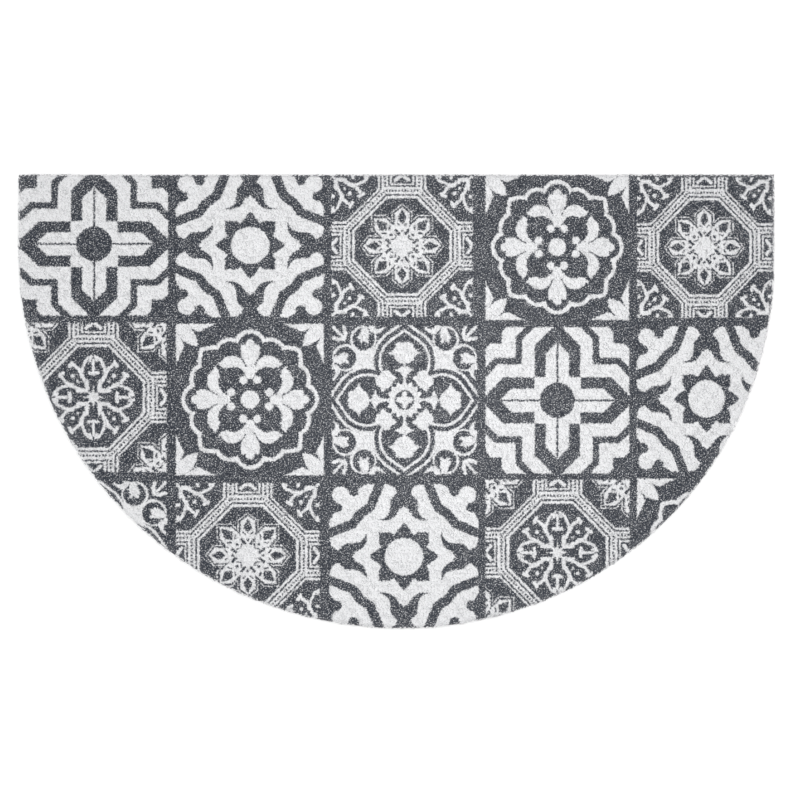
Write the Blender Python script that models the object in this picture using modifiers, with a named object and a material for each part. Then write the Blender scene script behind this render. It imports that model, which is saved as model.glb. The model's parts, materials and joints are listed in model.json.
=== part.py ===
"""Half moon doormat: one flat sheet of looped-filament pile, cut with one straight edge and one round edge.

Metres, +Z up. The straight edge lies towards +Y and the round edge towards -Y. The mat rests on Z = 0, and the
origin is the middle of the floor under it.
"""
from math import cos, pi, radians, sin

import bpy

# Driving dimensions
WIDTH = 0.750
SIDE_LENGTH = 0.0764
THICKNESS = 0.010
RIM_ROUNDING = 0.002
RIM_STEPS = 3
ROUND_EDGE_STEPS = 96

# How far the hand-cut round edge strays from a true half circle: each row is a wave that is zero at both ends of the
# round edge and has this many half waves between them, counted from the +X end
CUT_WAVES = [
    {"half_waves": 2, "height": 0.0024},
    {"half_waves": 3, "height": 0.0011},
]

FLAT_ANGLE = radians(0.1)
RIM_ANGLE = radians(30)
MERGE_DISTANCE = 0.00001

PILE_COLOUR = (0.48, 0.49, 0.50, 1.0)
PILE_ROUGHNESS = 0.62


def clear_scene():
    """Remove whatever the scene holds."""
    for thing in list(bpy.data.objects):
        bpy.data.objects.remove(thing, do_unlink=True)


def make_collection(name):
    """Add a collection to the scene and return it."""
    collection = bpy.data.collections.new(name)
    bpy.context.scene.collection.children.link(collection)
    return collection


def pile_material():
    """Printed PVC filament: mid grey from afar, half dull."""
    material = bpy.data.materials.new("printed_pile")
    material.use_nodes = True
    shader = material.node_tree.nodes["Principled BSDF"]
    shader.inputs["Base Color"].default_value = PILE_COLOUR
    shader.inputs["Roughness"].default_value = PILE_ROUGHNESS
    shader.inputs["Metallic"].default_value = 0.0
    material.diffuse_color = PILE_COLOUR
    return material


def cut_radius(turn):
    """Radius of the round edge at an angle below the +X direction: half the width, plus the waves of the cut."""
    stray = sum(row["height"] * sin(row["half_waves"] * turn) for row in CUT_WAVES)
    return WIDTH / 2 + stray


def mat_outline():
    """Outline points (x, y): two square corners, then the round edge from the +X side to the -X side.

    The short straight sides join the corners to the ends of the round edge, and the outline is moved so that its
    box is centred on the origin.
    """
    points = [(-WIDTH / 2, SIDE_LENGTH), (WIDTH / 2, SIDE_LENGTH)]
    for step in range(ROUND_EDGE_STEPS + 1):
        turn = pi * step / ROUND_EDGE_STEPS
        radius = cut_radius(turn)
        points.append((radius * cos(turn), -radius * sin(turn)))
    middle_x = (max(x for x, y in points) + min(x for x, y in points)) / 2
    middle_y = (max(y for x, y in points) + min(y for x, y in points)) / 2
    return [(x - middle_x, y - middle_y) for x, y in points]


def make_mat(collection):
    """The mat: a filled flat outline given half its thickness each way, with both rims slightly rounded."""
    points = mat_outline()
    curve = bpy.data.curves.new("mat", "CURVE")
    curve.dimensions = "2D"
    curve.fill_mode = "BOTH"
    curve.extrude = THICKNESS / 2
    spline = curve.splines.new("POLY")
    spline.points.add(len(points) - 1)
    for point, (x, y) in zip(spline.points, points):
        point.co = (x, y, 0.0, 1.0)
    spline.use_cyclic_u = True
    mat = bpy.data.objects.new("mat", curve)
    mat.location.z = THICKNESS / 2
    collection.objects.link(mat)

    weld = mat.modifiers.new("join_caps", "WELD")
    weld.merge_threshold = MERGE_DISTANCE
    flatten = mat.modifiers.new("flat_caps", "DECIMATE")
    flatten.decimate_type = "DISSOLVE"
    flatten.angle_limit = FLAT_ANGLE
    rim = mat.modifiers.new("rim", "BEVEL")
    rim.width = RIM_ROUNDING
    rim.segments = RIM_STEPS
    rim.limit_method = "ANGLE"
    rim.angle_limit = RIM_ANGLE
    curve.materials.append(pile_material())
    return mat


def main():
    clear_scene()
    collection = make_collection("half_moon_doormat")
    make_mat(collection)


main()
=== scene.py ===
"""Half moon doormat: a sheet of looped-filament pile, printed with a patchwork of six tile motifs.

Metres, +Z up. The straight edge lies towards +Y and the round edge towards -Y, and the mat rests on Z = 0.
The motifs are drawn on a chart of their own, in chart units from the middle of a tile.
"""
import json
from math import pi

import bpy
import numpy as np
from bpy.props import FloatProperty, FloatVectorProperty, IntProperty, PointerProperty
from bpy.types import Operator, Panel, PropertyGroup
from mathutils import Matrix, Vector

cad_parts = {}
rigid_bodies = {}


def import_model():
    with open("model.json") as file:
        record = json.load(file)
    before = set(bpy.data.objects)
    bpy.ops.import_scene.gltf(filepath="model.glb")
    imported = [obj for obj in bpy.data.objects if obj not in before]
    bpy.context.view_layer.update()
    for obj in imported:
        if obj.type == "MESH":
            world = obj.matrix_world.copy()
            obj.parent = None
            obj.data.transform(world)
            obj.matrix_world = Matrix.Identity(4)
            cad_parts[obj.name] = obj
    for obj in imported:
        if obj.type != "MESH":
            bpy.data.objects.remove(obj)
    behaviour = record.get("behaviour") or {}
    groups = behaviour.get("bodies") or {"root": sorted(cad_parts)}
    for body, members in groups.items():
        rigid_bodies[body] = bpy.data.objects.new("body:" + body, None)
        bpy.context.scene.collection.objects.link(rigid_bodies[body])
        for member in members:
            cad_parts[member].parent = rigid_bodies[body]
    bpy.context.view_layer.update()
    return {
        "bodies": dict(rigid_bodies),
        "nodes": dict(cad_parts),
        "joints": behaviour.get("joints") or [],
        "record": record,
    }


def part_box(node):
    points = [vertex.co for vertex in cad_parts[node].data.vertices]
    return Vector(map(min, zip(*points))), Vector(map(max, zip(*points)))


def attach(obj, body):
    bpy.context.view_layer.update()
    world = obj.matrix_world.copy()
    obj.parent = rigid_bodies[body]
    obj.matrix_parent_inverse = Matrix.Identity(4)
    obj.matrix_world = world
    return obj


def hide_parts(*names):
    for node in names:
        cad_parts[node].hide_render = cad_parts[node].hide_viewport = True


bl_info = {
    "name": "Half Moon Doormat",
    "version": (1, 0, 0),
    "blender": (4, 5, 0),
    "location": "View3D > Sidebar > Doormat",
    "description": "Dresses a half moon doormat with looped pile, a tile print and a studio",
    "category": "Object",
}

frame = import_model()
MAT_LOW, MAT_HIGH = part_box("mat")

# The cut: the straight sides below the square corners, and the waves by which the round edge strays from a
# true half circle. Each wave is zero at both ends of the round edge, has this many half waves between them,
# counted from the +X end, and this height.
SIDE_LENGTH = 0.0764
WIDTH = 0.750
CUT_WAVES = [
    {"half_waves": 2, "height": 0.0024},
    {"half_waves": 3, "height": 0.0011},
]
ROUND_MIDDLE_X = MAT_LOW.x + WIDTH / 2
ROUND_MIDDLE_Y = MAT_HIGH.y - SIDE_LENGTH

# How finely the cut is worked out: the least reach that a point can have from the round edge's middle, the
# rounds that refine its root, and the points along it
LEAST_REACH = 0.01
ROOT_ROUNDS = 6
CUT_POINTS = 721

# The patchwork, from the straight edge down and from -X to +X. A slip is how far a tile lies from its even
# place, and a size is what its print measures against an even tile. An even tile is this many chart units
# wide, and past this share of a tile from its middle, the print of the outermost columns runs on unchanged
# to the cut.
TILE_CHART = 155.5
PRINT_REACH = 0.465
PATCHWORK = [
    [
        {"motif": "stepped_cross", "slip": (0.0023, 0.0007), "size": (1.008, 0.978)},
        {"motif": "curled_star", "slip": (0.0028, -0.0006), "size": (1.008, 0.970)},
        {"motif": "framed_petals", "slip": (-0.0008, -0.0012), "size": (0.977, 0.978)},
        {"motif": "medallion", "slip": (-0.0010, -0.0025), "size": (0.953, 0.968)},
        {"motif": "framed_petals", "slip": (-0.0094, -0.0028), "size": (0.930, 0.970)},
    ],
    [
        {"motif": "framed_arches", "slip": (0.0015, 0.0028), "size": (1.012, 1.035)},
        {"motif": "medallion", "slip": (0.0028, 0.0006), "size": (0.987, 1.008)},
        {"motif": "ogee_cross", "slip": (0.0017, 0.0), "size": (0.980, 1.005)},
        {"motif": "stepped_cross", "slip": (-0.0009, -0.0003), "size": (0.982, 1.000)},
        {"motif": "curled_star", "slip": (-0.0071, 0.0012), "size": (0.950, 0.980)},
    ],
    [
        {"motif": "ogee_cross", "slip": (0.0010, 0.0009), "size": (1.000, 0.993)},
        {"motif": "framed_petals", "slip": (0.0005, 0.0002), "size": (0.993, 1.000)},
        {"motif": "curled_star", "slip": (0.0011, -0.0010), "size": (1.005, 0.977)},
        {"motif": "framed_arches", "slip": (-0.0008, 0.0029), "size": (0.995, 1.010)},
        {"motif": "medallion", "slip": (-0.0029, 0.0026), "size": (0.983, 0.990)},
    ],
]
ROWS = len(PATCHWORK)
COLUMNS = len(PATCHWORK[0])

# The print: how ragged its edges are, how soft, and how far the ink spreads past them, in chart units; how
# ragged and how soft its end at the cut is, in metres; and how much of it the cut edge has lost
PRINT_RAG = 4.5
PRINT_RAG_SCALE = 600.0
PRINT_SOFTNESS = 0.55
PRINT_SPREAD = 0.22
RIM_RAG = 0.002
RIM_SOFTNESS = 0.0004
RIM_WEAR = 0.08

# How thick the ink lies follows a sum of its grain, its clouds and the tone of its filament, less an offset.
# It goes from thick to thin over this part of the sum, which takes this share of it away. Deep in the pile it
# is darker by this factor, a painted shade that stands in for the shade between the loops.
INK_CLOUD_SCALE = 70.0
INK_CLOUD = 0.09
INK_STRAND = 0.05
INK_OFFSET = 0.07
INK_THIN = (0.540, 0.715)
INK_THIN_SHARE = 0.90
INK_PAINTED_SHADE = 0.70

# The white filament: its gloss, and its dark specks, painted shade of the narrow gaps between strands, in
# grains a metre, the part of the grain that they take up, and their colour
PILE_SHINE = 0.42
SPECK_SHADE_SCALE = 1100.0
SPECK_SHADE_SHARE = (0.60, 0.67)
SPECK_SHADE_COLOUR = (0.27, 0.28, 0.29)

# The bare filament at the cut: its colour, how dark it clouds, and over which part of its grain
EDGE_COLOUR = (0.80, 0.80, 0.81)
EDGE_SHADE = 0.86
EDGE_CLOUDING = (0.35, 0.75)

# The underside's net: its cells a metre, where a thread ends inside a cell, the shares of threads and clouds
# in its tone, the part of that tone that shows, and how dark it is between the threads
NET_SCALE = 240.0
NET_THREAD = (0.05, 0.22)
NET_THREAD_SHARE = 0.7
NET_CLOUD_SHARE = 0.3
NET_TONE = (0.1, 0.9)
NET_SHADE = 0.7

# The surfaces: the grains a metre and their detail, the roughness where the grain is least, what the grain
# adds to it, and the height of the relief
PRINTED = {"grain": 800.0, "detail": 1.0, "rough": 0.36, "rougher": 0.25, "relief": 0.0001}
BARE = {"grain": 900.0, "detail": 2.0, "rough": 0.4, "rougher": 0.2, "relief": 0.0002}
BACKING = {"grain": 60.0, "detail": 2.0, "rough": 0.5, "rougher": 0.2, "relief": 0.0006}

# Sides of a filament, and how many half widths its lower corners lie below its path and its crown above
FILAMENT_SIDES = 3
FILAMENT_LOWER = 0.5
FILAMENT_CROWN = 0.85

# Rows of loops: how much a loop leans across its row against along it, and how much the lean strays. The
# middle of a row lies a filament's width and this many leans below the mat's top, and no path comes nearer
# to the top than this share of the width.
LEAN_ACROSS = 0.7
LEAN_STRAY = 0.6
LEAN_ROOM = 1.2
CROWN_ROOM = 0.45

# Loops at the cut: the places along a row that are tried for lying inside it, and how far past it and short
# of it the knife leaves them, as shares of its raggedness
ROW_PLACES = 400
CUT_STRAY = (-0.45, 0.8)

# The tone of a filament wanders about this one, by up to as much, and the sheet has one tone all over
STRAND_TONE = 0.5
SHEET_TONE = 0.3

# Seeds of the random draws: the first tile's, the step to the next row of tiles, and the cut edge's
PILE_SEED = 7
SEEDS_A_ROW = 100
EDGE_SEED = 11

# Rows of bare loops that stand in the wall along the cut: how far inside it, how high the middle of each row
# is, how much its loops are squeezed, and how far ahead the way of the cut is read
EDGE_INSET = 0.0011
EDGE_HEIGHTS = (0.0026, 0.0050, 0.0074)
EDGE_SQUASH = 0.9
LOOK_AHEAD = 0.002

# The sheet: its columns and rows of points, the wave that lifts and lowers its top, in radians a metre, and
# how far below the round edge's middle the fan of its underside meets
SHEET_COLUMNS = 236
SHEET_ROWS = 92
SHEET_WAVE = {"height": 0.0002, "along_x": 410, "start": 1.3, "along_y": 370}
FAN_DROP = WIDTH / 8

# The sheet's wall from the top rim to the floor, as a distance out from the rim and a height. It draws in
# behind the standing loops, so that they show in front of a shaded hollow.
SHEET_WALL = [
    {"out": 0.0, "height": 0.0083},
    {"out": -0.0010, "height": 0.0076},
    {"out": -0.0014, "height": 0.0050},
    {"out": -0.0010, "height": 0.0016},
    {"out": -0.0004, "height": 0.0006},
    {"out": -0.0008, "height": 0.0},
]

# The map for baking, as shares of its square: the margin round a plan, how high the sheet's top starts, how
# large its underside is, and where its unrolled wall starts, with its length and the height of one step down
BAKE_MARGIN = 0.01
BAKE_TOP_START = 0.40
BAKE_UNDER_SIZE = 0.60
BAKE_WALL_START = (0.65, 0.02)
BAKE_WALL_LENGTH = 0.34
BAKE_WALL_STEP = 0.065

# The stage: the floor, the lamps, the room's even light, and a camera straight above whose view, at the
# height of the pile, is this wide and has this middle
FLOOR_SIZE = 12.0
FLOOR_ROUGHNESS = 0.9
LAMPS = [
    {"name": "top_light", "place": (0.06, 0.0, 0.7), "size": 0.3, "watts": 2.1},
    {"name": "far_light", "place": (0.05, 1.1, 1.5), "size": 0.9, "watts": 6.9},
    {"name": "near_light", "place": (0.05, -1.1, 1.5), "size": 0.9, "watts": 4.6},
    {"name": "left_light", "place": (-0.9, 0.05, 0.8), "size": 0.5, "watts": 2.0},
    {"name": "right_light", "place": (0.9, 0.05, 0.8), "size": 0.5, "watts": 1.5},
]
ROOM_LIGHT = 0.77
CAMERA_HEIGHT = 3.0
VIEW_WIDTH = 0.79365
VIEW_MIDDLE = (0.00367, 0.00149)


# Plan of the mat


def cut_radius(turn):
    """Radius of the round edge at an angle below +X: half the width, plus the waves of the cut."""
    return WIDTH / 2 + sum(wave["height"] * np.sin(wave["half_waves"] * turn) for wave in CUT_WAVES)


def edge_distance(x, y):
    """How far a point lies inside the cut edge: the least of its distances to the straight edge and to the
    side beside it, which is the straight side above the round edge's middle and the round edge below."""
    from_middle_x = x - ROUND_MIDDLE_X
    from_middle_y = y - ROUND_MIDDLE_Y
    reach = np.hypot(from_middle_x, from_middle_y)
    round_part = cut_radius(np.arctan2(-from_middle_y, from_middle_x)) - reach
    side_part = WIDTH / 2 - np.abs(from_middle_x)
    beside = np.where(from_middle_y > 0, side_part, round_part)
    return np.minimum(MAT_HIGH.y - y, beside)


def kept_inside(x, y, margin):
    """Points pushed back to a margin inside the cut edge: down from the straight edge, sideways from the
    straight sides, and towards the round edge's middle elsewhere."""
    from_middle_x = x - ROUND_MIDDLE_X
    from_middle_y = np.minimum(y, MAT_HIGH.y - margin) - ROUND_MIDDLE_Y
    limit = WIDTH / 2 - margin
    reach = np.maximum(np.hypot(from_middle_x, from_middle_y), LEAST_REACH)
    room = cut_radius(np.arctan2(-from_middle_y, from_middle_x)) - margin
    shrink = np.where(from_middle_y > 0, 1.0, np.minimum(1.0, room / reach))
    kept_x = np.clip(from_middle_x, -limit, limit) * shrink
    return ROUND_MIDDLE_X + kept_x, ROUND_MIDDLE_Y + from_middle_y * shrink


def lower_edge(x, inset):
    """Height Y of the round edge under a point X, this far inside the cut: the root of the circle formula,
    found by repeating it with the cut's radius at the point last found."""
    from_middle_x = np.abs(x - ROUND_MIDDLE_X)
    side = np.sign(x - ROUND_MIDDLE_X)
    drop = np.sqrt(np.maximum((WIDTH / 2 - inset) ** 2 - from_middle_x**2, 0))
    for _ in range(ROOT_ROUNDS):
        radius = cut_radius(np.arctan2(drop, side * from_middle_x)) - inset
        drop = np.sqrt(np.maximum(radius**2 - from_middle_x**2, 0))
    return ROUND_MIDDLE_Y - drop


def edge_path(inset):
    """The cut edge, this far inside it, clockwise from the -X corner: the two square corners and the round
    edge. Returns the way walked to each point, and the points' X and Y."""
    turn = np.linspace(0, pi, CUT_POINTS)
    radius = cut_radius(turn) - inset
    corner_x = WIDTH / 2 - inset
    corner_y = MAT_HIGH.y - inset
    x = np.concatenate([[-corner_x, corner_x], radius * np.cos(turn), [-corner_x]]) + ROUND_MIDDLE_X
    y = np.concatenate([[corner_y, corner_y], ROUND_MIDDLE_Y - radius * np.sin(turn), [corner_y]])
    walked = np.concatenate([[0], np.cumsum(np.hypot(np.diff(x), np.diff(y)))])
    return walked, x, y


# Meshes


def placed(name, data):
    """A new object with this data, linked to the scene."""
    holder = bpy.data.objects.new(name, data)
    bpy.context.scene.collection.objects.link(holder)
    return holder


def new_piece(name, points, quads, triangles, materials, slots=None, maps=None, marks=None):
    """A mesh object from whole arrays: corner points, four-sided faces, three-sided faces, the material slot
    of each face, UV maps given by point or by face corner, and named numbers given by point."""
    mesh = bpy.data.meshes.new(name)
    corners = np.concatenate([quads.ravel(), triangles.ravel()]).astype(np.int32)
    counts = np.concatenate([np.full(len(quads), 4), np.full(len(triangles), 3)])
    starts = np.concatenate([[0], np.cumsum(counts)[:-1]]).astype(np.int32)
    mesh.vertices.add(len(points))
    mesh.vertices.foreach_set("co", np.asarray(points, np.float32).ravel())
    mesh.loops.add(len(corners))
    mesh.loops.foreach_set("vertex_index", corners)
    mesh.polygons.add(len(counts))
    mesh.polygons.foreach_set("loop_start", starts)
    mesh.update(calc_edges=True)
    mesh.polygons.foreach_set("use_smooth", np.ones(len(counts), bool))
    for map_name, values in (maps or {}).items():
        uv_map = mesh.uv_layers.new(name=map_name)
        values = np.asarray(values, np.float32)
        by_corner = values[corners] if len(values) == len(points) else values
        uv_map.uv.foreach_set("vector", by_corner.ravel())
    for mark_name, values in (marks or {}).items():
        mark = mesh.attributes.new(mark_name, "FLOAT", "POINT")
        mark.data.foreach_set("value", np.asarray(values, np.float32))
    for material in materials:
        mesh.materials.append(material)
    if slots is not None:
        mesh.polygons.foreach_set("material_index", slots.astype(np.int32))
    piece = placed(name, mesh)
    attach(piece, "root")
    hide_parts("mat")
    return piece


def unit(vectors):
    """Vectors scaled to length one."""
    return vectors / np.linalg.norm(vectors, axis=-1, keepdims=True)


def filament(path, crown, half_width):
    """A three-sided tube along a path. Each ring has a corner to the left and one to the right, half the
    filament's width out and a little below the path, and a crown corner above it. Returns rings as an array
    of step, corner and axis."""
    along = unit(np.gradient(path, axis=0))
    right = unit(np.cross(along, crown))
    above = np.cross(right, along)
    low = path - above * half_width * FILAMENT_LOWER
    high = path + above * half_width * FILAMENT_CROWN
    return np.stack([low - right * half_width, high, low + right * half_width], axis=1)


def joined_filaments(strands):
    """Rings of many filaments as one set of points, side quads and end triangles."""
    points, quads, triangles = [], [], []
    first = 0
    for rings in strands:
        ring_starts = first + FILAMENT_SIDES * np.arange(len(rings) - 1)[:, None]
        start = ring_starts + np.array([0, 1, 2])
        turned = ring_starts + np.array([1, 2, 0])
        sides = [start, turned, turned + FILAMENT_SIDES, start + FILAMENT_SIDES]
        quads.append(np.stack(sides, axis=-1).reshape(-1, 4))
        last = first + FILAMENT_SIDES * (len(rings) - 1)
        triangles.append([[first, first + 2, first + 1], [last, last + 1, last + 2]])
        points.append(rings.reshape(-1, 3))
        first += FILAMENT_SIDES * len(rings)
    return np.concatenate(points), np.concatenate(quads), np.concatenate(triangles)


def loop_by_loop(rng, loops, steps_per_loop, spread):
    """A number for every step that wanders in straight lines between one random value a loop."""
    values = rng.uniform(-spread, spread, loops + 2)
    return np.interp(np.arange(loops * steps_per_loop + 1) / steps_per_loop, np.arange(loops + 2), values)


def looped_row(rng, loops, length, sizes, way):
    """A row of loops as (forward, sideways, height) offsets: a trochoid, where a circle's middle moves
    forward evenly while the filament goes round it once a loop. Middle, radius and height wander from loop
    to loop, and the loops lean so that each lies over the next."""
    steps = sizes.steps_per_loop
    count = np.arange(loops * steps + 1)
    angle = 2 * pi * count / steps + rng.uniform(0, 2 * pi)
    radius = sizes.loop_radius * (1 + loop_by_loop(rng, loops, steps, sizes.loop_variation))
    forward = length * count / (loops * steps) + radius * np.cos(angle)
    forward += loop_by_loop(rng, loops, steps, sizes.loop_wander)
    sideways = way * radius * np.sin(angle) + loop_by_loop(rng, loops, steps, sizes.loop_wander)
    height = sizes.loop_lean * (np.cos(angle) + LEAN_ACROSS * way * np.sin(angle))
    height += loop_by_loop(rng, loops, steps, sizes.loop_lean * LEAN_STRAY)
    return forward, sideways, height


# Drawing with nodes: a shape is a number that is below zero inside it, in chart units. Beads are where a
# wave of this height, lowered by this much, is below zero.


BEAD_WAVE = 0.9
BEAD_DROP = 0.1


class Wire:
    """A number or vector at a node's output. A sum or a product with it adds the node that gives it."""

    def __init__(self, tree, socket):
        self.tree = tree
        self.socket = socket

    def through(self, node_type, operation, *others, output=0):
        """This wire and others, or plain numbers, put through a new node."""
        node = self.tree.nodes.new(node_type)
        node.operation = operation
        for place, value in enumerate((self, *others)):
            if isinstance(value, Wire):
                self.tree.links.new(value.socket, node.inputs[place])
            else:
                node.inputs[place].default_value = value
        return Wire(self.tree, node.outputs[output])

    def number(self, operation, *others):
        """The number that a Math node makes of this wire and others."""
        return self.through("ShaderNodeMath", operation, *others)

    def vector(self, operation, *others):
        """What a Vector Math node makes of this wire and others. A distance or a dot product is a number."""
        output = "Value" if operation in ("DISTANCE", "DOT_PRODUCT") else "Vector"
        return self.through("ShaderNodeVectorMath", operation, *others, output=output)

    def __add__(self, other):
        return self.number("ADD", other)

    def __radd__(self, other):
        return self.number("ADD", other)

    def __sub__(self, other):
        return self.number("SUBTRACT", other)

    def __rsub__(self, other):
        return self.number("MULTIPLY_ADD", -1.0, other)

    def __mul__(self, other):
        return self.number("MULTIPLY", other)

    def __rmul__(self, other):
        return self.number("MULTIPLY", other)

    def __neg__(self):
        return self.number("MULTIPLY", -1.0)

    def __abs__(self):
        return self.number("ABSOLUTE")

    def ramp(self, start, end):
        """0 before the start and 1 past the end, in a straight line between them."""
        share = self.number("MULTIPLY_ADD", 1 / (end - start), -start / (end - start))
        share.socket.node.use_clamp = True
        return share


def least(*shapes):
    """Shapes joined: the least of their numbers."""
    joined = shapes[0]
    for shape in shapes[1:]:
        joined = joined.number("MINIMUM", shape)
    return joined


def most(*shapes):
    """What lies inside every shape: the greatest of their numbers."""
    shared = shapes[0]
    for shape in shapes[1:]:
        shared = shared.number("MAXIMUM", shape)
    return shared


def cut(shape, *holes):
    """A shape with holes taken out of it."""
    for hole in holes:
        shape = shape.number("MAXIMUM", -hole)
    return shape


def choose(test, under, over):
    """One shape where the test is below zero, and another past it."""
    past = test.number("GREATER_THAN", 0.0)
    return under + (over - under) * past


def band(inner, outer):
    """What lies inside the outer shape and outside the inner one."""
    return most(outer, -inner)


def stroke(shape, half_width):
    """A line of even width along a shape's outline."""
    return abs(shape) - half_width


class Tile:
    """A tile folded into an eighth: across is the greater of a point's distances from the tile's two middle
    lines, and down the lesser, so that a motif drawn once shows eight times."""

    def __init__(self, tree, across, down):
        self.tree = tree
        self.across = across
        self.down = down
        node = tree.nodes.new("ShaderNodeCombineXYZ")
        tree.links.new(across.socket, node.inputs["X"])
        tree.links.new(down.socket, node.inputs["Y"])
        node.inputs["Z"].default_value = 1.0
        self.point = Wire(tree, node.outputs["Vector"])

    def side(self, x, y, limit):
        """Everything on the near side of a straight line: x across plus y down comes to the limit on it."""
        return self.point.vector("DOT_PRODUCT", (x, y, -limit))

    def disc(self, x, y, radius):
        """A disc: the distance from its middle, less its radius."""
        return self.point.vector("DISTANCE", (x, y, 1.0)) - radius

    def rod(self, start_x, start_y, end_x, end_y, radius):
        """A bar with round ends: the distance from the nearest point of its middle line, less its radius.
        That point is a share of the way along the line, kept between its ends."""
        run = np.array([end_x - start_x, end_y - start_y])
        reach = run / (run @ run)
        share = self.side(reach[0], reach[1], reach @ np.array([start_x, start_y])).ramp(0.0, 1.0)
        nearest = share.vector("MULTIPLY", (run[0], run[1], 0.0))
        return self.point.vector("SUBTRACT", (start_x, start_y, 1.0)).vector("DISTANCE", nearest) - radius

    def beads(self, x, y, pitch):
        """Dots along a direction: a wave that is below zero for a little over half of each step."""
        along = self.side(2 * pi * x / pitch, 2 * pi * y / pitch, 0.0)
        return -BEAD_DROP - along.number("COSINE") * BEAD_WAVE

    def far(self):
        """Distance from the tile's middle."""
        return self.point.vector("DISTANCE", (0.0, 0.0, 1.0))

    def ripple(self, count):
        """A wave round the tile's middle, with this many crests in a turn."""
        return (self.down.number("ARCTAN2", self.across) * count).number("COSINE")

    def corner(self, reach):
        """The same tile drawn from its corner, this far out, and folded the other way."""
        return Tile(self.tree, reach - self.down, reach - self.across)


# Motifs of the print, each a shape that is below zero where the print leaves the pile white. Their sizes and
# places are in chart units.


# How far across, and how far down, a step of length one along a diagonal goes
DIAGONAL = 0.707

# The nested crosses, from the inside out: half the side of the middle square, half the width of an arm, and
# how far out on its axis the tip lies
STEPS = [
    {"square": 23.6, "half_width": 12.1, "tip": 58.8},
    {"square": 23.3, "half_width": 22.9, "tip": 77.7},
    {"square": 36.9, "half_width": 36.2, "tip": 96.8},
    {"square": 43.6, "half_width": 42.4, "tip": 106.0},
    {"square": 57.7, "half_width": 57.0, "tip": 125.2},
]


def stepped_cross(tile):
    """Nested stepped crosses: each is an arm of even half width ending in a right-angled tip, and a square
    in the middle. White and dark alternate between them."""
    steps = []
    for row in STEPS:
        tip = tile.side(DIAGONAL, DIAGONAL, DIAGONAL * row["tip"])
        arm = most(tile.side(0, 1, row["half_width"]), tip)
        steps.append(least(arm, tile.side(1, 0, row["square"])))
    heart, arm, step, thin, outer = steps
    light = least(heart, band(arm, step), band(thin, outer))
    cross_line = most(tile.side(0, 1, 0.8), tile.side(1, 0, 58.0))
    return cut(most(light, tile.side(1, 0, 73.4)), tile.disc(0, 0, 17.6), cross_line)


def curled_star(tile):
    """A disc in an eight-pointed star, bowls at the border whose rims thin out to a point, curved bands
    across the diagonals and a three-lobed flower in each corner."""
    block = most(tile.side(1, 0, 24.7), tile.side(0.865, -0.502, 14.3))
    point = most(tile.side(0.573, 0.820, 20.4), tile.side(0.770, 0.638, 26.3))
    star = cut(least(block, point), tile.disc(0, 0, 19.3))
    rim = most(cut(tile.disc(52.7, 19.9, 15.5), tile.disc(49.8, 26.2, 12.6)), tile.side(1, 0, 51))
    bowl = most(tile.disc(53.5, 0.4, 13), tile.side(-1, 0, -49))
    mouth = least(
        most(tile.side(0, 1, 13), tile.side(-1, 0, -60)),
        most(tile.side(0, 1, 21), tile.side(-1, 0, -67.5)),
    )
    bowl = cut(least(rim, bowl, mouth), most(tile.side(DIAGONAL, DIAGONAL, 36.6), tile.side(0, 1, 7.6)))
    bowl = cut(bowl, most(tile.side(-0.671, -0.741, -48.6), tile.disc(62.5, 17.5, 11.4)))
    bracket = least(
        tile.rod(78, 22.5, 50.8, 33.6, 4.5),
        tile.rod(50.8, 33.6, 43.6, 43.6, 4.5),
    )
    edge = least(
        most(tile.side(-0.862, -0.507, -82.9), tile.side(0, -1, -34)),
        most(tile.side(-1, 0, -66.5), tile.side(0, -1, -45.3)),
        tile.disc(66.8, 50.2, 4.8),
    )
    edge = cut(edge, tile.disc(63.2, 63.2, 8.8))
    dark = least(star, bowl, bracket, edge, tile.side(-1, 0, -74.4))
    return -dark


def medallion(tile):
    """Four fleurs-de-lis round a disc, in a scalloped medallion, and a leaf and two spikes in each corner."""
    dot = tile.disc(0, 0, 9.4)
    curl = tile.disc(19.3, 6.9, 4.3)
    tip = most(tile.side(0, -1, -27), tile.side(1, 0, 37.2), tile.side(0.35, 0.94, 43.2))
    leaf = most(least(tile.disc(30.4, 18.3, 13.4), tip), tile.side(-0.755, 0.656, -5.1))
    stem = most(tile.side(-1, 0, -20.2), tile.side(1, 0, 33.2), tile.side(-0.32, 1, -3.0))
    leaf = cut(least(leaf, stem), tile.disc(19.4, 16.9, 12.7), tile.disc(24.9, 27.6, 6.7))
    neck = most(tile.side(-0.41, 0.91, -9.8), tile.side(-1, 0, -32), tile.side(1, 0, 46))
    petal = most(tile.disc(48.7, -8.0, 17.9), tile.side(1, 0, 54.5))
    petal = least(petal, neck, tile.disc(55.2, 0, 4.7))
    scallop = least(
        tile.disc(52.7, 0, 14.9),
        tile.disc(44.3, 19.9, 15.3),
        tile.disc(15.4, 37.3, 35.9),
        tile.side(1, 0, 44),
    )
    corner = most(tile.side(-0.905, -0.4256, -82.8), tile.side(-0.912, 0.41, -39.4))
    corner = least(corner, tile.disc(53.0, 78.0, 24.9))
    corner = most(corner, tile.side(1, 0, 75.4))
    return least(dot, curl, leaf, petal, stroke(scallop, 2.25), corner)


def ogee_middle(tile):
    """The middle of the ogee cross: a small star in a toothed ring, a stem on each axis and a heart on each
    diagonal."""
    star = least(tile.rod(0, 0, 5.8, 0, 2.9), tile.disc(0, 0, 5.0))
    teeth = 17.3 + 1.5 * tile.ripple(16)
    gear = cut(tile.far() - teeth, tile.disc(0, 0, 9.6))
    stem = tile.rod(18, 0, 38, 0, 1.5)
    heart = least(tile.disc(23.7, 18.9, 6.3), tile.disc(19.2, 19.2, 7.6))
    heart = least(heart, tile.rod(21.2, 14.2, 21.7, 12.6, 3.4), tile.rod(21.6, 12.4, 22.2, 9.9, 1.8))
    return least(star, gear, stem, heart)


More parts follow.
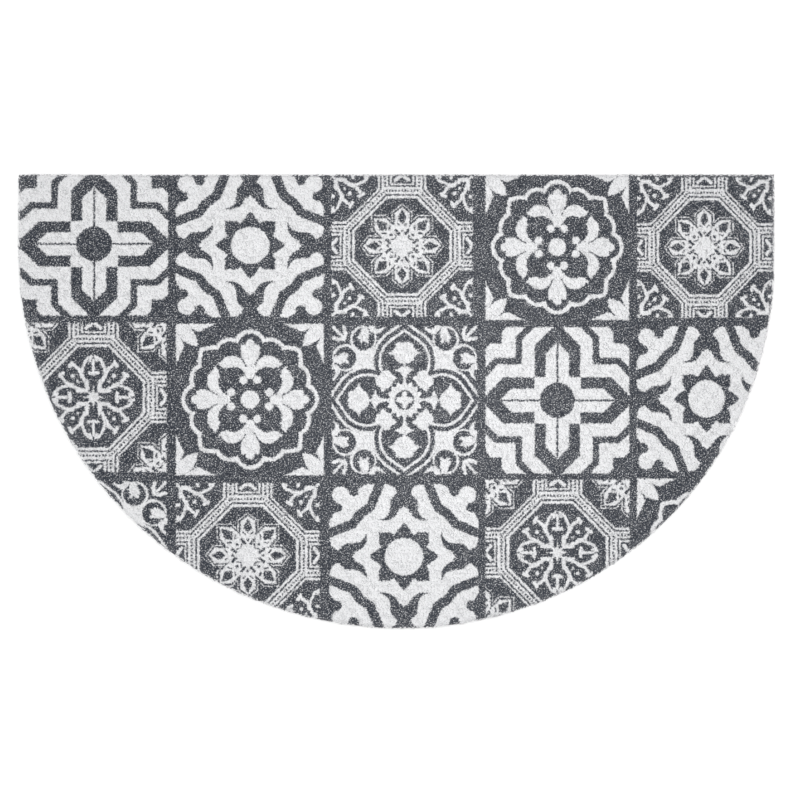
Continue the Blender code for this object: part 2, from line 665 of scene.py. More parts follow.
def ogee_bud(tile):
    """A cup on each stem, and in it a bud with two pointed wings."""
    cup = cut(most(tile.side(0.911, 0.411, 31.6), tile.side(-1, 0, -21)), tile.disc(21.2, 9.7, 7.9))
    cup = most(cup, tile.side(0, 1, 9.4))
    bud = least(tile.disc(46.6, 0, 10.8), tile.disc(53.4, 5, 4.5), tile.disc(54.6, 0, 3.6))
    wing = most(tile.side(0, 1, 16.8), tile.side(0, -1, -7), tile.side(1, 0, 52), tile.side(-1, 0, -40))
    wing = cut(wing, tile.disc(38.6, 16.4, 7.3), tile.disc(54.6, 17.6, 7.2))
    return least(cup, bud, wing)


def curl_hollow(tile):
    """The round hollow that a curl goes round."""
    return tile.disc(60.6, 41.7, 11.1)


def ogee_curl(tile):
    """In each corner of the ogee cross, a curl on each side of a fork: a ring round a palmette, and a leaf
    that runs on from it."""
    ring = cut(tile.disc(60.2, 42.2, 13.7), curl_hollow(tile))
    palmette = least(
        tile.disc(64, 41.2, 5.2),
        tile.rod(65, 41, 69, 40.2, 4.2),
        tile.rod(60.6, 39.4, 58.2, 38, 1.8),
        tile.rod(60.6, 43, 58.6, 44.4, 1.8),
        tile.rod(62.6, 44.4, 62.2, 45.8, 1.9),
    )
    leaf = most(tile.disc(80, 32.5, 14.8), tile.side(1, 0, 72.8), tile.side(0, 1, 39))
    leaf = cut(leaf, tile.disc(77.8, 26.8, 6.8))
    leaf = least(leaf, palmette, ring, tile.rod(68.4, 38.2, 72, 33.5, 3.6))
    leaf = cut(leaf, tile.rod(64.6, 31.8, 67.6, 35.4, 0.9), tile.rod(67.6, 35.4, 70.8, 36.6, 0.5))
    return least(
        leaf,
        tile.rod(62, 62, 72.5, 72.5, 1.6),
        tile.rod(61.5, 61, 67, 60.2, 2.1),
        tile.rod(67, 60.2, 72.5, 62, 1.9),
    )


def ogee_cross(tile):
    """Four ogee lobes outlined twice, a cup with a bud in each, a toothed ring and hearts in the middle, and
    in each corner a curl on each side of a fork."""
    flank = tile.side(0.816, 0.578, 56.67)
    lobe = choose(tile.side(-0.578, 0.816, -22.25), flank, tile.disc(38.5, 0, 25.25))
    outline = most(stroke(lobe, 1.5), tile.side(-1, 0, -24))
    web = cut(most(5.6 - lobe, tile.side(-1, 0, -27)), curl_hollow(tile))
    web = most(web, least(lobe - 8.7, tile.side(1, 0, 53.5)))
    light = least(ogee_middle(tile), ogee_bud(tile), outline, web, ogee_curl(tile))
    return most(light, tile.side(1, 0, 74.5))


def petal_flower(tile):
    """A star with eight petals: pointed ones on the axes and square-ended ones on the diagonals, each with a
    dark core and a thin second outline."""
    core = most(tile.side(-0.616, 0.788, -13.7), tile.side(0.431, 0.902, 16.0), tile.side(0, 1, 4.0))
    petal = most(tile.side(0.80, 0.60, 31.7), tile.side(0, 1, 7.7))
    rind = most(tile.side(0.78, 0.626, 33.2), tile.side(0, 1, 10.0))
    block_core = most(tile.side(0, -1, -15.9), tile.side(0.948, -0.319, 16.9))
    block_core = most(block_core, tile.side(DIAGONAL, DIAGONAL, 36.4))
    block = most(tile.side(1, 0, 28.4), tile.side(0.74, -0.67, 9.8))
    block_rind = most(tile.side(1, 0, 31.0), tile.side(0.74, -0.67, 11.9))
    light = least(petal, block, stroke(least(rind, block_rind), 0.55))
    wedge = least(tile.rod(12.2, 3.2, 15.8, 6.2, 1.3), tile.rod(7.6, 7.2, 11, 6.6, 0.5))
    specks = least(
        tile.disc(11, 11, 1.4),
        tile.disc(15.2, 0, 1.2),
        tile.rod(21.3, 3.0, 23.0, 4.9, 0.5),
        tile.rod(16.9, 13.0, 20, 12.5, 0.6),
    )
    return cut(light, core, block_core, wedge, specks)


def arch_flower(tile):
    """A small eight-rayed star with an arch on each axis that holds an anchor and two dark eyes, and a
    forked curl with two beads on each diagonal."""
    star = least(tile.side(0.226, 0.974, 2.5), tile.rod(0, 0, 5.3, 5.3, 1.3), tile.disc(0, 0, 5.2))
    star = most(star, tile.side(1, 0, 12))
    arch = stroke(least(tile.disc(24.6, 0, 11.4), tile.disc(30.2, 0, 9.2)), 1.6)
    arch = cut(arch, most(tile.side(1, 0, 20), tile.side(0, 1, 9.5)))
    flank = least(tile.rod(7.5, 6.3, 15.2, 6.6, 2.3), tile.rod(15, 8.4, 20, 10.5, 1.8))
    anchor = least(
        tile.rod(22.9, 0, 23.6, 4.2, 1.8),
        tile.rod(24, 0, 37, 0, 1.6),
        tile.rod(35.8, 3.6, 39.3, 1.9, 1.8),
    )
    fork = least(
        tile.rod(20, 11.7, 27, 13.9, 1.8),
        tile.rod(27, 13.9, 31.4, 20, 1.8),
        tile.rod(30, 23.2, 33.9, 20.9, 2.0),
    )
    bead = least(tile.disc(20.5, 20.5, 2.1), tile.disc(15.3, 15.3, 1.4))
    light = least(star, arch, flank, anchor, fork, bead)
    return cut(light, tile.rod(38.6, 0, 43, 0, 0.8))


# Lines of the octagon frame: how far each lies from the tile's middle along an axis, and how far out on the
# axis it would meet it along its slant
FRAME_LINES = {
    "inner edge": {"flat": 48.3, "slant": 63.2},
    "first dark line": {"flat": 52.1, "slant": 68.2},
    "bead row": {"flat": 56.4, "slant": 73.6},
    "second dark line": {"flat": 61.2, "slant": 79.0},
    "outer edge": {"flat": 64.6, "slant": 82.8},
}


def frame_flat(tile, name):
    """The near side of a frame line where it runs along a side of the tile."""
    return tile.side(1, 0, FRAME_LINES[name]["flat"])


def frame_slant(tile, name):
    """The near side of a frame line where it runs across a diagonal."""
    return tile.side(DIAGONAL, DIAGONAL, DIAGONAL * FRAME_LINES[name]["slant"])


def frame_ring(tile, name):
    """The octagon inside a frame line."""
    return most(frame_flat(tile, name), frame_slant(tile, name))


def octagon_frame(tile):
    """White lines round an octagon, with thin dark lines and a row of beads between them, that run on to the
    middle of each side of the tile and hold a small box there. Returns the octagon's inside, the lines and
    both together."""
    inner = frame_ring(tile, "inner edge")
    whole = least(frame_ring(tile, "outer edge"), tile.side(0, 1, 25.1))
    first_line = stroke(frame_ring(tile, "first dark line"), 0.7)
    outer_line = stroke(least(frame_slant(tile, "second dark line"), tile.side(0, 1, 21.7)), 0.7)
    box_line = stroke(most(-frame_flat(tile, "second dark line"), tile.side(0, 1, 13.4)), 0.7)
    box = most(tile.side(-1, 0, -63.9), tile.side(0, 1, 10.3))
    box = cut(box, tile.rod(67.0, 7.0, 71.3, 1.5, 1.9))
    slant_row = stroke(frame_slant(tile, "bead row"), 0.8)
    slant_beads = most(slant_row, tile.beads(DIAGONAL, -DIAGONAL, 3.2), tile.side(1, 0, 55))
    side_row = stroke(frame_flat(tile, "bead row"), 0.8)
    side_beads = most(side_row, tile.beads(0, 1, 3.2), tile.side(0, 1, 18.5))
    arm_row = stroke(tile.side(0, 1, 17.5), 0.9)
    arm_beads = most(arm_row, tile.beads(1, 0, 3.4), tile.side(-1, 0, -59.8))
    light = cut(band(inner, whole), first_line, outer_line, box_line, box)
    return inner, cut(light, slant_beads, arm_beads, side_beads), whole


def framed_flower(tile, flower, corner_flower, corner_place):
    """A flower inside the octagon frame and a quarter of the other one in each corner, this far out."""
    inner, frame, arm = octagon_frame(tile)
    middle = most(flower(tile), inner)
    corner = cut(corner_flower(tile.corner(corner_place)), arm)
    return most(least(middle, frame, corner), tile.side(1, 0, 72.4))


def framed_petals(tile):
    """The petal star in the frame, with the arch star in the corners."""
    return framed_flower(tile, petal_flower, arch_flower, 74.0)


def framed_arches(tile):
    """The arch star in the frame, with the petal star in the corners."""
    return framed_flower(tile, arch_flower, petal_flower, 75.0)


MOTIFS = {
    "stepped_cross": stepped_cross,
    "curled_star": curled_star,
    "medallion": medallion,
    "ogee_cross": ogee_cross,
    "framed_petals": framed_petals,
    "framed_arches": framed_arches,
}


# Sizes and colours


def length_setting(name, description, default):
    """A length that a user may change, in metres."""
    kind = {"subtype": "DISTANCE", "unit": "LENGTH"}
    return FloatProperty(name=name, description=description, default=default, **kind)


def colour_setting(name, description, default):
    """A colour that a user may change."""
    kind = {"subtype": "COLOR", "size": 3}
    return FloatVectorProperty(name=name, description=description, default=default, **kind)


class DoormatSizes(PropertyGroup):
    """Sizes of the doormat's pile and print."""

    tile_pitch: length_setting("Tile pitch", "From the middle of one printed tile to the next", 0.1543)
    first_tile: FloatVectorProperty(
        name="Middle tile",
        description="Place of the middle tile of the patchwork in the mat's plan",
        default=(0.0065, 0.0014),
        size=2,
        subtype="XYZ",
        unit="LENGTH",
    )
    sheet_height: length_setting("Sheet height", "Height of the welded sheet under the loops", 0.0088)
    sheet_inset: length_setting("Sheet inset", "How far the sheet's rim lies inside the cut edge", 0.0003)
    filament_width: length_setting("Filament width", "Width of one PVC filament", 0.00105)
    row_pitch: length_setting("Row pitch", "Distance from one row of loops to the next", 0.0039)
    loop_pitch: length_setting("Loop pitch", "How far a row moves on from one loop to the next", 0.0033)
    loop_radius: length_setting("Loop radius", "Radius of a loop of filament", 0.0020)
    loop_variation: FloatProperty(
        name="Loop variation",
        description="Share by which a loop may be larger or smaller than the next",
        default=0.40,
        subtype="FACTOR",
    )
    loop_wander: length_setting("Loop wander", "How far a loop's middle may lie from its even place", 0.0015)
    loop_lean: length_setting("Loop lean", "Height by which one side of a loop lies over the other", 0.0002)
    steps_per_loop: IntProperty(
        name="Steps in a loop",
        description="Straight pieces that a loop of filament is made of",
        default=6,
    )
    bare_rim: length_setting("Bare rim", "Width of the unprinted pile along the cut edge", 0.0002)
    cut_raggedness: length_setting("Cut raggedness", "How far from the cut edge a loop may end", 0.0009)
    worn_rim: length_setting("Thin rim", "Width of the band of thinner ink along the cut edge", 0.0065)


class DoormatColours(PropertyGroup):
    """Colours of the doormat's pile and print."""

    pile: colour_setting("Pile", "Colour of the unprinted PVC filament", (0.570, 0.571, 0.581))
    ink: colour_setting("Ink", "Colour of the slate print where it lies thick", (0.0040, 0.0100, 0.0235))
    backing: colour_setting("Backing", "Colour of the plain PVC underside", (0.36, 0.365, 0.37))
    floor: colour_setting("Floor", "Colour of the pale floor", (0.98, 0.98, 0.98))


# Materials


def blank_material(name):
    """A new material with one Principled shader, its node tree and the shader."""
    material = bpy.data.materials.new(name)
    material.use_nodes = True
    tree = material.node_tree
    return material, tree, tree.nodes["Principled BSDF"]


def object_point(tree):
    """The point's place on the mat, in metres."""
    return Wire(tree, tree.nodes.new("ShaderNodeTexCoord").outputs["Object"])


def grain(tree, point, scale, detail=2.0):
    """Noise from 0 to 1 at this many grains a metre."""
    node = tree.nodes.new("ShaderNodeTexNoise")
    node.inputs["Scale"].default_value = scale
    node.inputs["Detail"].default_value = detail
    tree.links.new(point.socket, node.inputs["Vector"])
    return Wire(tree, node.outputs["Fac"])


def split(tree, point):
    """The three numbers of a point."""
    node = tree.nodes.new("ShaderNodeSeparateXYZ")
    tree.links.new(point.socket, node.inputs["Vector"])
    return [Wire(tree, node.outputs[axis]) for axis in "XYZ"]


def darker(colour, factor):
    """A plain colour made darker by a factor."""
    return [value * factor for value in colour]


def mark_of(tree, name):
    """A named number that the mesh carries."""
    node = tree.nodes.new("ShaderNodeAttribute")
    node.attribute_name = name
    return Wire(tree, node.outputs["Fac"])


def mixed(tree, share, first, second):
    """One colour passing into another by a share. Each is a plain colour or a wire."""
    node = tree.nodes.new("ShaderNodeMix")
    node.data_type = "RGBA"
    tree.links.new(share.socket, node.inputs["Factor"])
    for socket, colour in (("A", first), ("B", second)):
        target = next(s for s in node.inputs if s.name == socket and s.type == "RGBA")
        if isinstance(colour, Wire):
            tree.links.new(colour.socket, target)
        else:
            target.default_value = (*colour, 1.0)
    return Wire(tree, next(s for s in node.outputs if s.type == "RGBA"))


def surface(tree, shader, colour, finish, fine, relief):
    """Give the shader its colour, a roughness that follows the grain, and a small relief."""
    tree.links.new(colour.socket, shader.inputs["Base Color"])
    tree.links.new((fine * finish["rougher"] + finish["rough"]).socket, shader.inputs["Roughness"])
    bump = tree.nodes.new("ShaderNodeBump")
    bump.inputs["Distance"].default_value = finish["relief"]
    tree.links.new(relief.socket, bump.inputs["Height"])
    tree.links.new(bump.outputs["Normal"], shader.inputs["Normal"])


def folded_tile(tree):
    """The tile that the piece's own UV map places a point on, in chart units from its middle."""
    chart = tree.nodes.new("ShaderNodeUVMap")
    chart.uv_map = "tile"
    place = Wire(tree, chart.outputs["UV"]).vector("ABSOLUTE").vector("MULTIPLY", (TILE_CHART,) * 3)
    wide, tall, _ = split(tree, place)
    return Tile(tree, most(wide, tall), least(wide, tall))


def printed_pile(motif_name, sizes, colours):
    """White PVC filament with one motif printed on it. The print leaves the rim along the cut bare, has a
    slightly ragged edge, and lies thinner on some filaments than on others. Grey specks on the white are
    painted shade of the gaps between strands, and the ink is painted darker the lower it lies in the pile, as
    painted shade between the loops."""
    material, tree, shader = blank_material("printed_" + motif_name)
    point = object_point(tree)
    ragged = grain(tree, point, PRINT_RAG_SCALE) - 0.5
    shape = MOTIFS[motif_name](folded_tile(tree)) + ragged * PRINT_RAG
    dark = shape.ramp(-PRINT_SOFTNESS - PRINT_SPREAD, PRINT_SOFTNESS - PRINT_SPREAD)
    rim = mark_of(tree, "edge") + ragged * RIM_RAG
    dark = dark * rim.ramp(sizes.bare_rim - RIM_SOFTNESS, sizes.bare_rim + RIM_SOFTNESS)
    dark = dark * (rim.ramp(0.0, sizes.worn_rim) * RIM_WEAR + (1 - RIM_WEAR))

    strand = mark_of(tree, "strand")
    fine = grain(tree, point, PRINTED["grain"], PRINTED["detail"])
    cloud = grain(tree, point, INK_CLOUD_SCALE)
    thin = (fine + strand * INK_STRAND + cloud * INK_CLOUD - INK_OFFSET).ramp(*INK_THIN)
    ink = dark * (1 - thin * INK_THIN_SHARE)
    # Painted shade: grey specks on the white filament stand in for the shade of the gaps between strands.
    speck_shade = grain(tree, point, SPECK_SHADE_SCALE, PRINTED["detail"]).ramp(*SPECK_SHADE_SHARE)
    bare = mixed(tree, speck_shade, colours.pile, SPECK_SHADE_COLOUR)
    # Painted shade: the ink is darker the lower it lies in the pile, where the loops shade one another.
    _, _, height = split(tree, point)
    clear_of_painted_shade = height.ramp(sizes.sheet_height, MAT_HIGH.z - sizes.filament_width / 2)
    slate = mixed(tree, clear_of_painted_shade, darker(colours.ink, INK_PAINTED_SHADE), colours.ink)
    shader.inputs["Specular IOR Level"].default_value = PILE_SHINE
    surface(tree, shader, mixed(tree, ink, bare, slate), PRINTED, fine, fine)
    return material


def bare_pile():
    """White PVC filament without print, as it shows in the cut: faint grey clouding and a soft gloss."""
    material, tree, shader = blank_material("bare_pile")
    fine = grain(tree, object_point(tree), BARE["grain"], BARE["detail"])
    colour = mixed(tree, fine.ramp(*EDGE_CLOUDING), EDGE_COLOUR, darker(EDGE_COLOUR, EDGE_SHADE))
    surface(tree, shader, colour, BARE, fine, fine)
    return material


def backing_sheet(colours):
    """The underside: matt PVC with the faint open net that the welded loops leave, drawn as cells."""
    material, tree, shader = blank_material("backing_sheet")
    point = object_point(tree)
    cells = tree.nodes.new("ShaderNodeTexVoronoi")
    cells.feature = "DISTANCE_TO_EDGE"
    cells.inputs["Scale"].default_value = NET_SCALE
    tree.links.new(point.socket, cells.inputs["Vector"])
    thread = 1 - Wire(tree, cells.outputs["Distance"]).ramp(*NET_THREAD)
    cloud = grain(tree, point, BACKING["grain"], BACKING["detail"])
    tone = (thread * NET_THREAD_SHARE + cloud * NET_CLOUD_SHARE).ramp(*NET_TONE)
    colour = mixed(tree, tone, darker(colours.backing, NET_SHADE), colours.backing)
    surface(tree, shader, colour, BACKING, cloud, thread)
    return material


def plain_material(name, colour, roughness):
    """One even colour, for the stage only."""
    material, tree, shader = blank_material(name)
    shader.inputs["Base Color"].default_value = (*colour, 1.0)
    shader.inputs["Roughness"].default_value = roughness
    return material


def shared_material(name, make, *values):
    """A material by name, made from these values the first time that it is asked for."""
    return bpy.data.materials.get(name) or make(*values)


def tile_material(motif_name):
    """The printed pile of one motif."""
    scene = bpy.context.scene
    values = (motif_name, scene.doormat_sizes, scene.doormat_colours)
    return shared_material("printed_" + motif_name, printed_pile, *values)


# Print and plan of the patchwork


def even_place(row, column, sizes):
    """Middle of a tile in an even patchwork, a pitch from its neighbours."""
    x = sizes.first_tile[0] + (column - COLUMNS // 2) * sizes.tile_pitch
    y = sizes.first_tile[1] + (ROWS // 2 - row) * sizes.tile_pitch
    return x, y


def tile_bounds(row, column, sizes):
    """Edges of a tile's ground, halfway to the even places of its neighbours: least X, greatest X, least Y,
    greatest Y. The outer tiles run on to the cut."""
    half = sizes.tile_pitch / 2
    x, y = even_place(row, column, sizes)
    low_x = x - half if column > 0 else MAT_LOW.x
    high_x = x + half if column < COLUMNS - 1 else MAT_HIGH.x
    low_y = y - half if row < ROWS - 1 else MAT_LOW.y
    high_y = y + half if row > 0 else MAT_HIGH.y
    return low_x, high_x, low_y, high_y


def tile_map(x, y, row, column, sizes):
    """Place on a tile as a share of its pitch from its middle, which its slip moves, for the UV map that the
    print reads. Past the outer end of an outer tile's print it stays at that end, so that the print runs on
    to the cut."""
    tile = PATCHWORK[row][column]
    even_x, even_y = even_place(row, column, sizes)
    across = (x - (even_x + tile["slip"][0])) / tile["size"][0] / sizes.tile_pitch
    up = (y - (even_y + tile["slip"][1])) / tile["size"][1] / sizes.tile_pitch
    least_across = -PRINT_REACH if column == 0 else -1.0
    greatest_across = PRINT_REACH if column == COLUMNS - 1 else 1.0
    return np.stack([np.clip(across, least_across, greatest_across), up], axis=-1)


def bake_map(x, y):
    """Plan of one piece fitted into the unit square, for baking."""
    side = max(np.ptp(x), np.ptp(y))
    return np.stack([x - x.min(), y - y.min()], axis=-1) / side * (1 - 2 * BAKE_MARGIN) + BAKE_MARGIN


# Operators


class DOORMAT_OT_pile_loops(Operator):
    """Make the printed loops of each tile: rows of looped filament across the tile's ground, kept inside the
    cut"""

    bl_idname = "doormat.pile_loops"
    bl_label = "Printed pile loops"

    def execute(self, context):
        for row in range(ROWS):
            for column in range(COLUMNS):
                make_tile_loops(row, column, context.scene.doormat_sizes)
        return {"FINISHED"}


def make_tile_loops(row, column, sizes):
    """One tile's loops. Each row of loops runs along X between the tile's edges and the cut, wherever it has
    room for a loop."""
    rng = np.random.default_rng(SEEDS_A_ROW * row + column + PILE_SEED)
    low_x, high_x, low_y, high_y = tile_bounds(row, column, sizes)
    rows = int(round((high_y - low_y) / sizes.row_pitch))
    places = np.linspace(low_x, high_x, ROW_PLACES)
    strands, tones = [], []
    for count in range(rows):
        y = low_y + (count + 0.5) * (high_y - low_y) / rows
        inside = places[edge_distance(places, np.full(ROW_PLACES, y)) > sizes.filament_width / 2]
        if len(inside) < 2 or inside[-1] - inside[0] < 2 * sizes.loop_radius:
            continue
        start, length = inside[0], inside[-1] - inside[0]
        loops = max(1, int(round(length / sizes.loop_pitch)))
        way = 1 if count % 2 else -1
        forward, sideways, height = looped_row(rng, loops, length, sizes, way)
        cut_at = rng.uniform(*CUT_STRAY, len(forward)) * sizes.cut_raggedness
        x, y = kept_inside(start + forward, y + sideways, cut_at)
        middle_height = MAT_HIGH.z - sizes.filament_width - LEAN_ROOM * sizes.loop_lean
        z = np.minimum(middle_height + height, MAT_HIGH.z - sizes.filament_width * CROWN_ROOM)
        strands.append(filament(np.stack([x, y, z], axis=-1), (0.0, 0.0, 1.0), sizes.filament_width / 2))
        tone = STRAND_TONE + loop_by_loop(rng, loops, sizes.steps_per_loop, STRAND_TONE)
        tones.append(np.repeat(tone, FILAMENT_SIDES))
    points, quads, triangles = joined_filaments(strands)
    x, y = points[:, 0], points[:, 1]
    new_piece(
        f"pile_tile_{row + 1}_{column + 1}",
        points,
        quads,
        triangles,
        [tile_material(PATCHWORK[row][column]["motif"])],
        maps={"tile": tile_map(x, y, row, column, sizes), "OFBake": bake_map(x, y)},
        marks={"edge": edge_distance(x, y), "strand": np.concatenate(tones)},
    )


class DOORMAT_OT_edge_loops(Operator):
    """Make the bare loops of the cut edge: rows that stand in the wall, one above another"""

    bl_idname = "doormat.edge_loops"
    bl_label = "Cut edge loops"

    def execute(self, context):
        rng = np.random.default_rng(EDGE_SEED)
        strands = [edge_row(rng, height, context.scene.doormat_sizes) for height in EDGE_HEIGHTS]
        points, quads, triangles = joined_filaments(strands)
        bare = shared_material("bare_pile", bare_pile)
        maps = {"OFBake": bake_map(points[:, 0], points[:, 1])}
        new_piece("edge_loops", points, quads, triangles, [bare], maps=maps)
        return {"FINISHED"}


def edge_row(rng, row_height, sizes):
    """A row of loops carried along the cut edge. The loops go round in the wall and lean outwards."""
    walked, line_x, line_y = edge_path(EDGE_INSET)
    length = walked[-1]
    loops = int(round(length / sizes.loop_pitch))
    forward, sideways, lean = looped_row(rng, loops, length, sizes, 1)
    forward = forward % length
    x, y = np.interp(forward, walked, line_x), np.interp(forward, walked, line_y)
    ahead = (forward + LOOK_AHEAD) % length
    ahead_x, ahead_y = np.interp(ahead, walked, line_x), np.interp(ahead, walked, line_y)
    tangent = unit(np.stack([ahead_x - x, ahead_y - y], axis=-1))
    outward = np.stack([-tangent[:, 1], tangent[:, 0], np.zeros(len(x))], axis=-1)
    x, y = kept_inside(x + outward[:, 0] * lean, y + outward[:, 1] * lean, 0.0)
    half = sizes.filament_width / 2
    z = np.clip(row_height + sideways * EDGE_SQUASH, MAT_LOW.z + half, MAT_HIGH.z - half)
    return filament(np.stack([x, y, z], axis=-1), outward, half)


class DOORMAT_OT_mat_sheet(Operator):
    bl_idname = "doormat.mat_sheet"
    bl_label = "Welded sheet"

    def execute(self, context):
        sizes = context.scene.doormat_sizes
        top_points, top_quads, rim = sheet_top(sizes)
        points, wall_quads, triangles = sheet_below(top_points, rim)
        quads = np.concatenate([top_quads, wall_quads])
        slots, tile_corners = sheet_print(points, quads, len(top_quads), triangles, sizes)
        materials = [tile_material(name) for name in MOTIFS]
        materials.append(shared_material("bare_pile", bare_pile))
        materials.append(shared_material("backing_sheet", backing_sheet, context.scene.doormat_colours))
        sheet = new_piece(
            "mat_sheet",
            points,
            quads,
            triangles,
            materials,
            slots=slots,
            maps={"tile": tile_corners, "OFBake": sheet_bake_map(points, quads, len(top_quads), triangles)},
            marks={
                "edge": edge_distance(points[:, 0], points[:, 1]),
                "strand": np.full(len(points), SHEET_TONE),
            },
        )
        sheet.data.polygons.foreach_set("use_smooth", np.arange(len(slots)) < len(quads))
        pile = [piece for piece in bpy.data.objects if piece.name.startswith(("pile_tile", "edge_loops"))]
        if not pile:
            raise RuntimeError("make the pile's loops before the sheet that holds them")
        return {"FINISHED"}


def sheet_top(sizes):
    """The sheet's top as points, four-sided faces and its rim, clockwise: X goes with the sine of an even
    angle, so that columns crowd where the round edge turns down, and each column is shared out evenly from
    the straight edge to the round one. A wave of a fifth of a millimetre lifts and lowers it."""
    turn = np.linspace(-pi / 2, pi / 2, SHEET_COLUMNS)[:, None]
    x = ROUND_MIDDLE_X + (WIDTH / 2 - sizes.sheet_inset) * np.sin(turn) * np.ones(SHEET_ROWS)
    top = MAT_HIGH.y - sizes.sheet_inset
    y = top + (lower_edge(x, sizes.sheet_inset) - top) * np.linspace(0, 1, SHEET_ROWS)
    along_x = np.sin(SHEET_WAVE["along_x"] * x + SHEET_WAVE["start"])
    z = sizes.sheet_height + SHEET_WAVE["height"] * along_x * np.sin(SHEET_WAVE["along_y"] * y)
    index = np.arange(SHEET_COLUMNS * SHEET_ROWS).reshape(SHEET_COLUMNS, SHEET_ROWS)
    first = index[:-1, :-1]
    corners = [first, first + 1, first + SHEET_ROWS + 1, first + SHEET_ROWS]
    rim = np.concatenate([index[:, 0], index[-1, 1:], index[-2::-1, -1], index[0, -2:0:-1]])
    return np.stack([x, y, z], axis=-1).reshape(-1, 3), np.stack(corners, axis=-1).reshape(-1, 4), rim


def sheet_below(top_points, rim):
    """The sheet's wall and underside: the rim is carried down and in or out by the wall's profile, and its
    last ring is closed by a fan of triangles round the middle."""
    line = top_points[rim]
    along = np.roll(line, -1, axis=0) - np.roll(line, 1, axis=0)
    outward = unit(np.stack([-along[:, 1], along[:, 0], np.zeros(len(rim))], axis=-1))
    rings, quads = [top_points], []
    above = rim
    first = len(top_points)
    for step in SHEET_WALL:
        ring = line + outward * step["out"]
        ring[:, 2] = step["height"]
        rings.append(ring)
        below = first + np.arange(len(rim))
        quads.append(np.stack([above, np.roll(above, -1), np.roll(below, -1), below], axis=-1))
        above = below
        first += len(rim)
    rings.append([[ROUND_MIDDLE_X, ROUND_MIDDLE_Y - FAN_DROP, 0.0]])
    triangles = np.stack([np.full(len(rim), first), above, np.roll(above, -1)], axis=-1)
    return np.concatenate(rings), np.concatenate(quads), triangles


def sheet_print(points, quads, top_count, triangles, sizes):
    """Material slot of each face, and place on its tile of each face corner. A top face belongs to the tile
    that holds its middle, a wall face is bare, and the underside has its own material."""
    names = list(MOTIFS)
    slots = np.full(len(quads) + len(triangles), len(names) + 1)
    slots[top_count:len(quads)] = len(names)
    places = np.zeros((len(quads), 4, 2))
    top_x, top_y = points[quads[:top_count], 0], points[quads[:top_count], 1]
    middle_x, middle_y = top_x.mean(1), top_y.mean(1)
    for row, tiles in enumerate(PATCHWORK):
        for column, tile in enumerate(tiles):
            low_x, high_x, low_y, high_y = tile_bounds(row, column, sizes)
            here = (middle_x >= low_x) & (middle_x < high_x) & (middle_y >= low_y) & (middle_y < high_y)
            slots[:top_count][here] = names.index(tile["motif"])
            places[:top_count][here] = tile_map(top_x[here], top_y[here], row, column, sizes)
    return slots, np.concatenate([places.reshape(-1, 2), np.zeros((3 * len(triangles), 2))])


def sheet_bake_map(points, quads, top_count, triangles):
    """A map for baking: the top's plan over the upper part of the square, the underside's plan smaller below
    it, and the wall beside that, unrolled."""
    corners = np.concatenate([quads.ravel(), triangles.ravel()])
    spot = (points[corners, :2] - [MAT_LOW.x, MAT_LOW.y]) / (MAT_HIGH.x - MAT_LOW.x)
    top = BAKE_MARGIN + spot * (1 - 2 * BAKE_MARGIN) + [0.0, BAKE_TOP_START]
    under = BAKE_MARGIN + spot * BAKE_UNDER_SIZE
    ring = len(triangles)
    along = np.tile(np.arange(ring)[:, None] + [0, 1, 1, 0], (len(SHEET_WALL), 1)) / ring
    level = np.repeat(np.arange(len(SHEET_WALL)), ring)[:, None] + [0, 0, 1, 1]
    wall_x = BAKE_WALL_START[0] + BAKE_WALL_LENGTH * along
    wall_y = BAKE_WALL_START[1] + BAKE_WALL_STEP * level
    wall = np.stack([wall_x, wall_y], axis=-1).reshape(-1, 2)
    first = 4 * top_count
    return np.concatenate([top[:first], wall, under[first + len(wall):]])


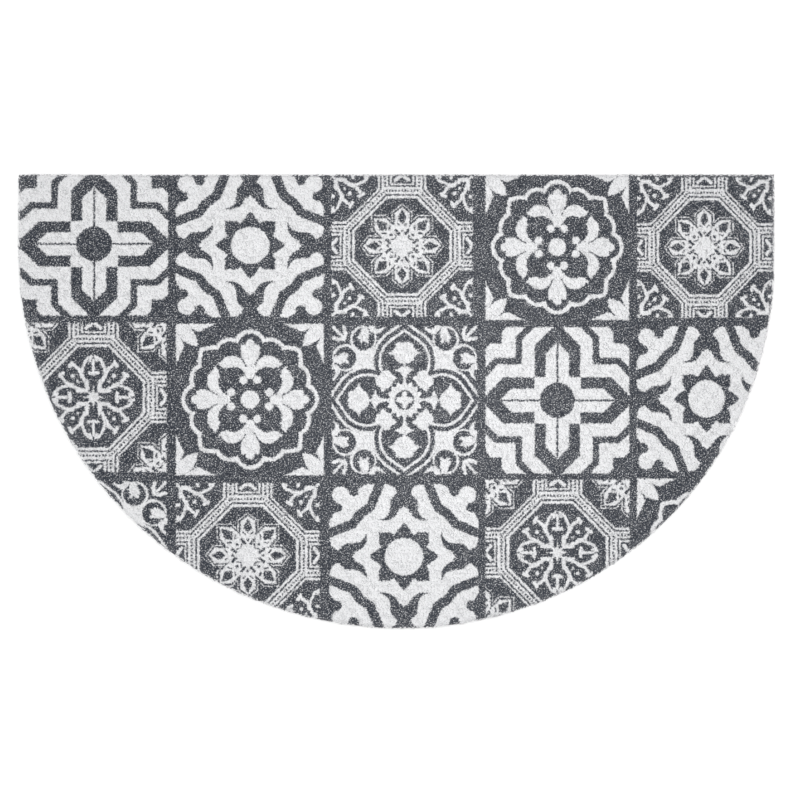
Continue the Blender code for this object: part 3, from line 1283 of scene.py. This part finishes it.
class DOORMAT_OT_studio(Operator):
    """Make the pale floor, the soft lights and the camera that looks straight down"""

    bl_idname = "doormat.studio"
    bl_label = "Floor, lights and camera"

    def execute(self, context):
        scene = context.scene
        floor_material = plain_material("pale_floor", scene.doormat_colours.floor, FLOOR_ROUGHNESS)
        half = FLOOR_SIZE / 2
        corners = [(-half, -half, 0.0), (half, -half, 0.0), (half, half, 0.0), (-half, half, 0.0)]
        mesh = bpy.data.meshes.new("floor")
        mesh.from_pydata(corners, [], [(0, 1, 2, 3)])
        mesh.materials.append(floor_material)
        placed("floor", mesh)

        for lamp in LAMPS:
            light = bpy.data.lights.new(lamp["name"], "AREA")
            light.shape = "DISK"
            light.size = lamp["size"]
            light.energy = lamp["watts"]
            holder = placed(lamp["name"], light)
            holder.location = lamp["place"]
            holder.rotation_euler = (-Vector(lamp["place"])).to_track_quat("-Z", "Y").to_euler()
        world = bpy.data.worlds.new("soft_room")
        world.use_nodes = True
        world.node_tree.nodes["Background"].inputs["Strength"].default_value = ROOM_LIGHT
        world.node_tree.nodes["Background"].inputs["Color"].default_value = (1.0, 1.0, 1.0, 1.0)
        scene.world = world
        scene.view_settings.view_transform = "Standard"

        camera = bpy.data.cameras.new("camera")
        camera.lens = camera.sensor_width * (CAMERA_HEIGHT - MAT_HIGH.z) / VIEW_WIDTH
        scene.camera = placed("camera", camera)
        scene.camera.location = (*VIEW_MIDDLE, CAMERA_HEIGHT)
        return {"FINISHED"}


class DOORMAT_PT_sidebar(Panel):
    """Lists the doormat's pieces, sizes and colours"""

    bl_idname = "DOORMAT_PT_sidebar"
    bl_label = "Half Moon Doormat"
    bl_space_type = "VIEW_3D"
    bl_region_type = "UI"
    bl_category = "Doormat"

    def draw(self, context):
        layout = self.layout
        for group in (context.scene.doormat_sizes, context.scene.doormat_colours):
            column = layout.column(align=True)
            for name in group.__annotations__:
                column.prop(group, name)
        for operator in OPERATORS:
            layout.operator(operator.bl_idname)


OPERATORS = (DOORMAT_OT_pile_loops, DOORMAT_OT_edge_loops, DOORMAT_OT_mat_sheet, DOORMAT_OT_studio)
CLASSES = (DoormatSizes, DoormatColours, *OPERATORS, DOORMAT_PT_sidebar)


def register():
    """Register the classes and give the scene its sizes and colours."""
    for cls in CLASSES:
        bpy.utils.register_class(cls)
    bpy.types.Scene.doormat_sizes = PointerProperty(type=DoormatSizes)
    bpy.types.Scene.doormat_colours = PointerProperty(type=DoormatColours)


def unregister():
    """Take the sizes, the colours and the classes away again."""
    del bpy.types.Scene.doormat_colours
    del bpy.types.Scene.doormat_sizes
    for cls in reversed(CLASSES):
        bpy.utils.unregister_class(cls)


def main():
    """Make every piece of the doormat, then its stage."""
    register()
    bpy.ops.doormat.pile_loops()
    bpy.ops.doormat.edge_loops()
    bpy.ops.doormat.mat_sheet()
    bpy.ops.doormat.studio()


if __name__ == "__main__":
    main()
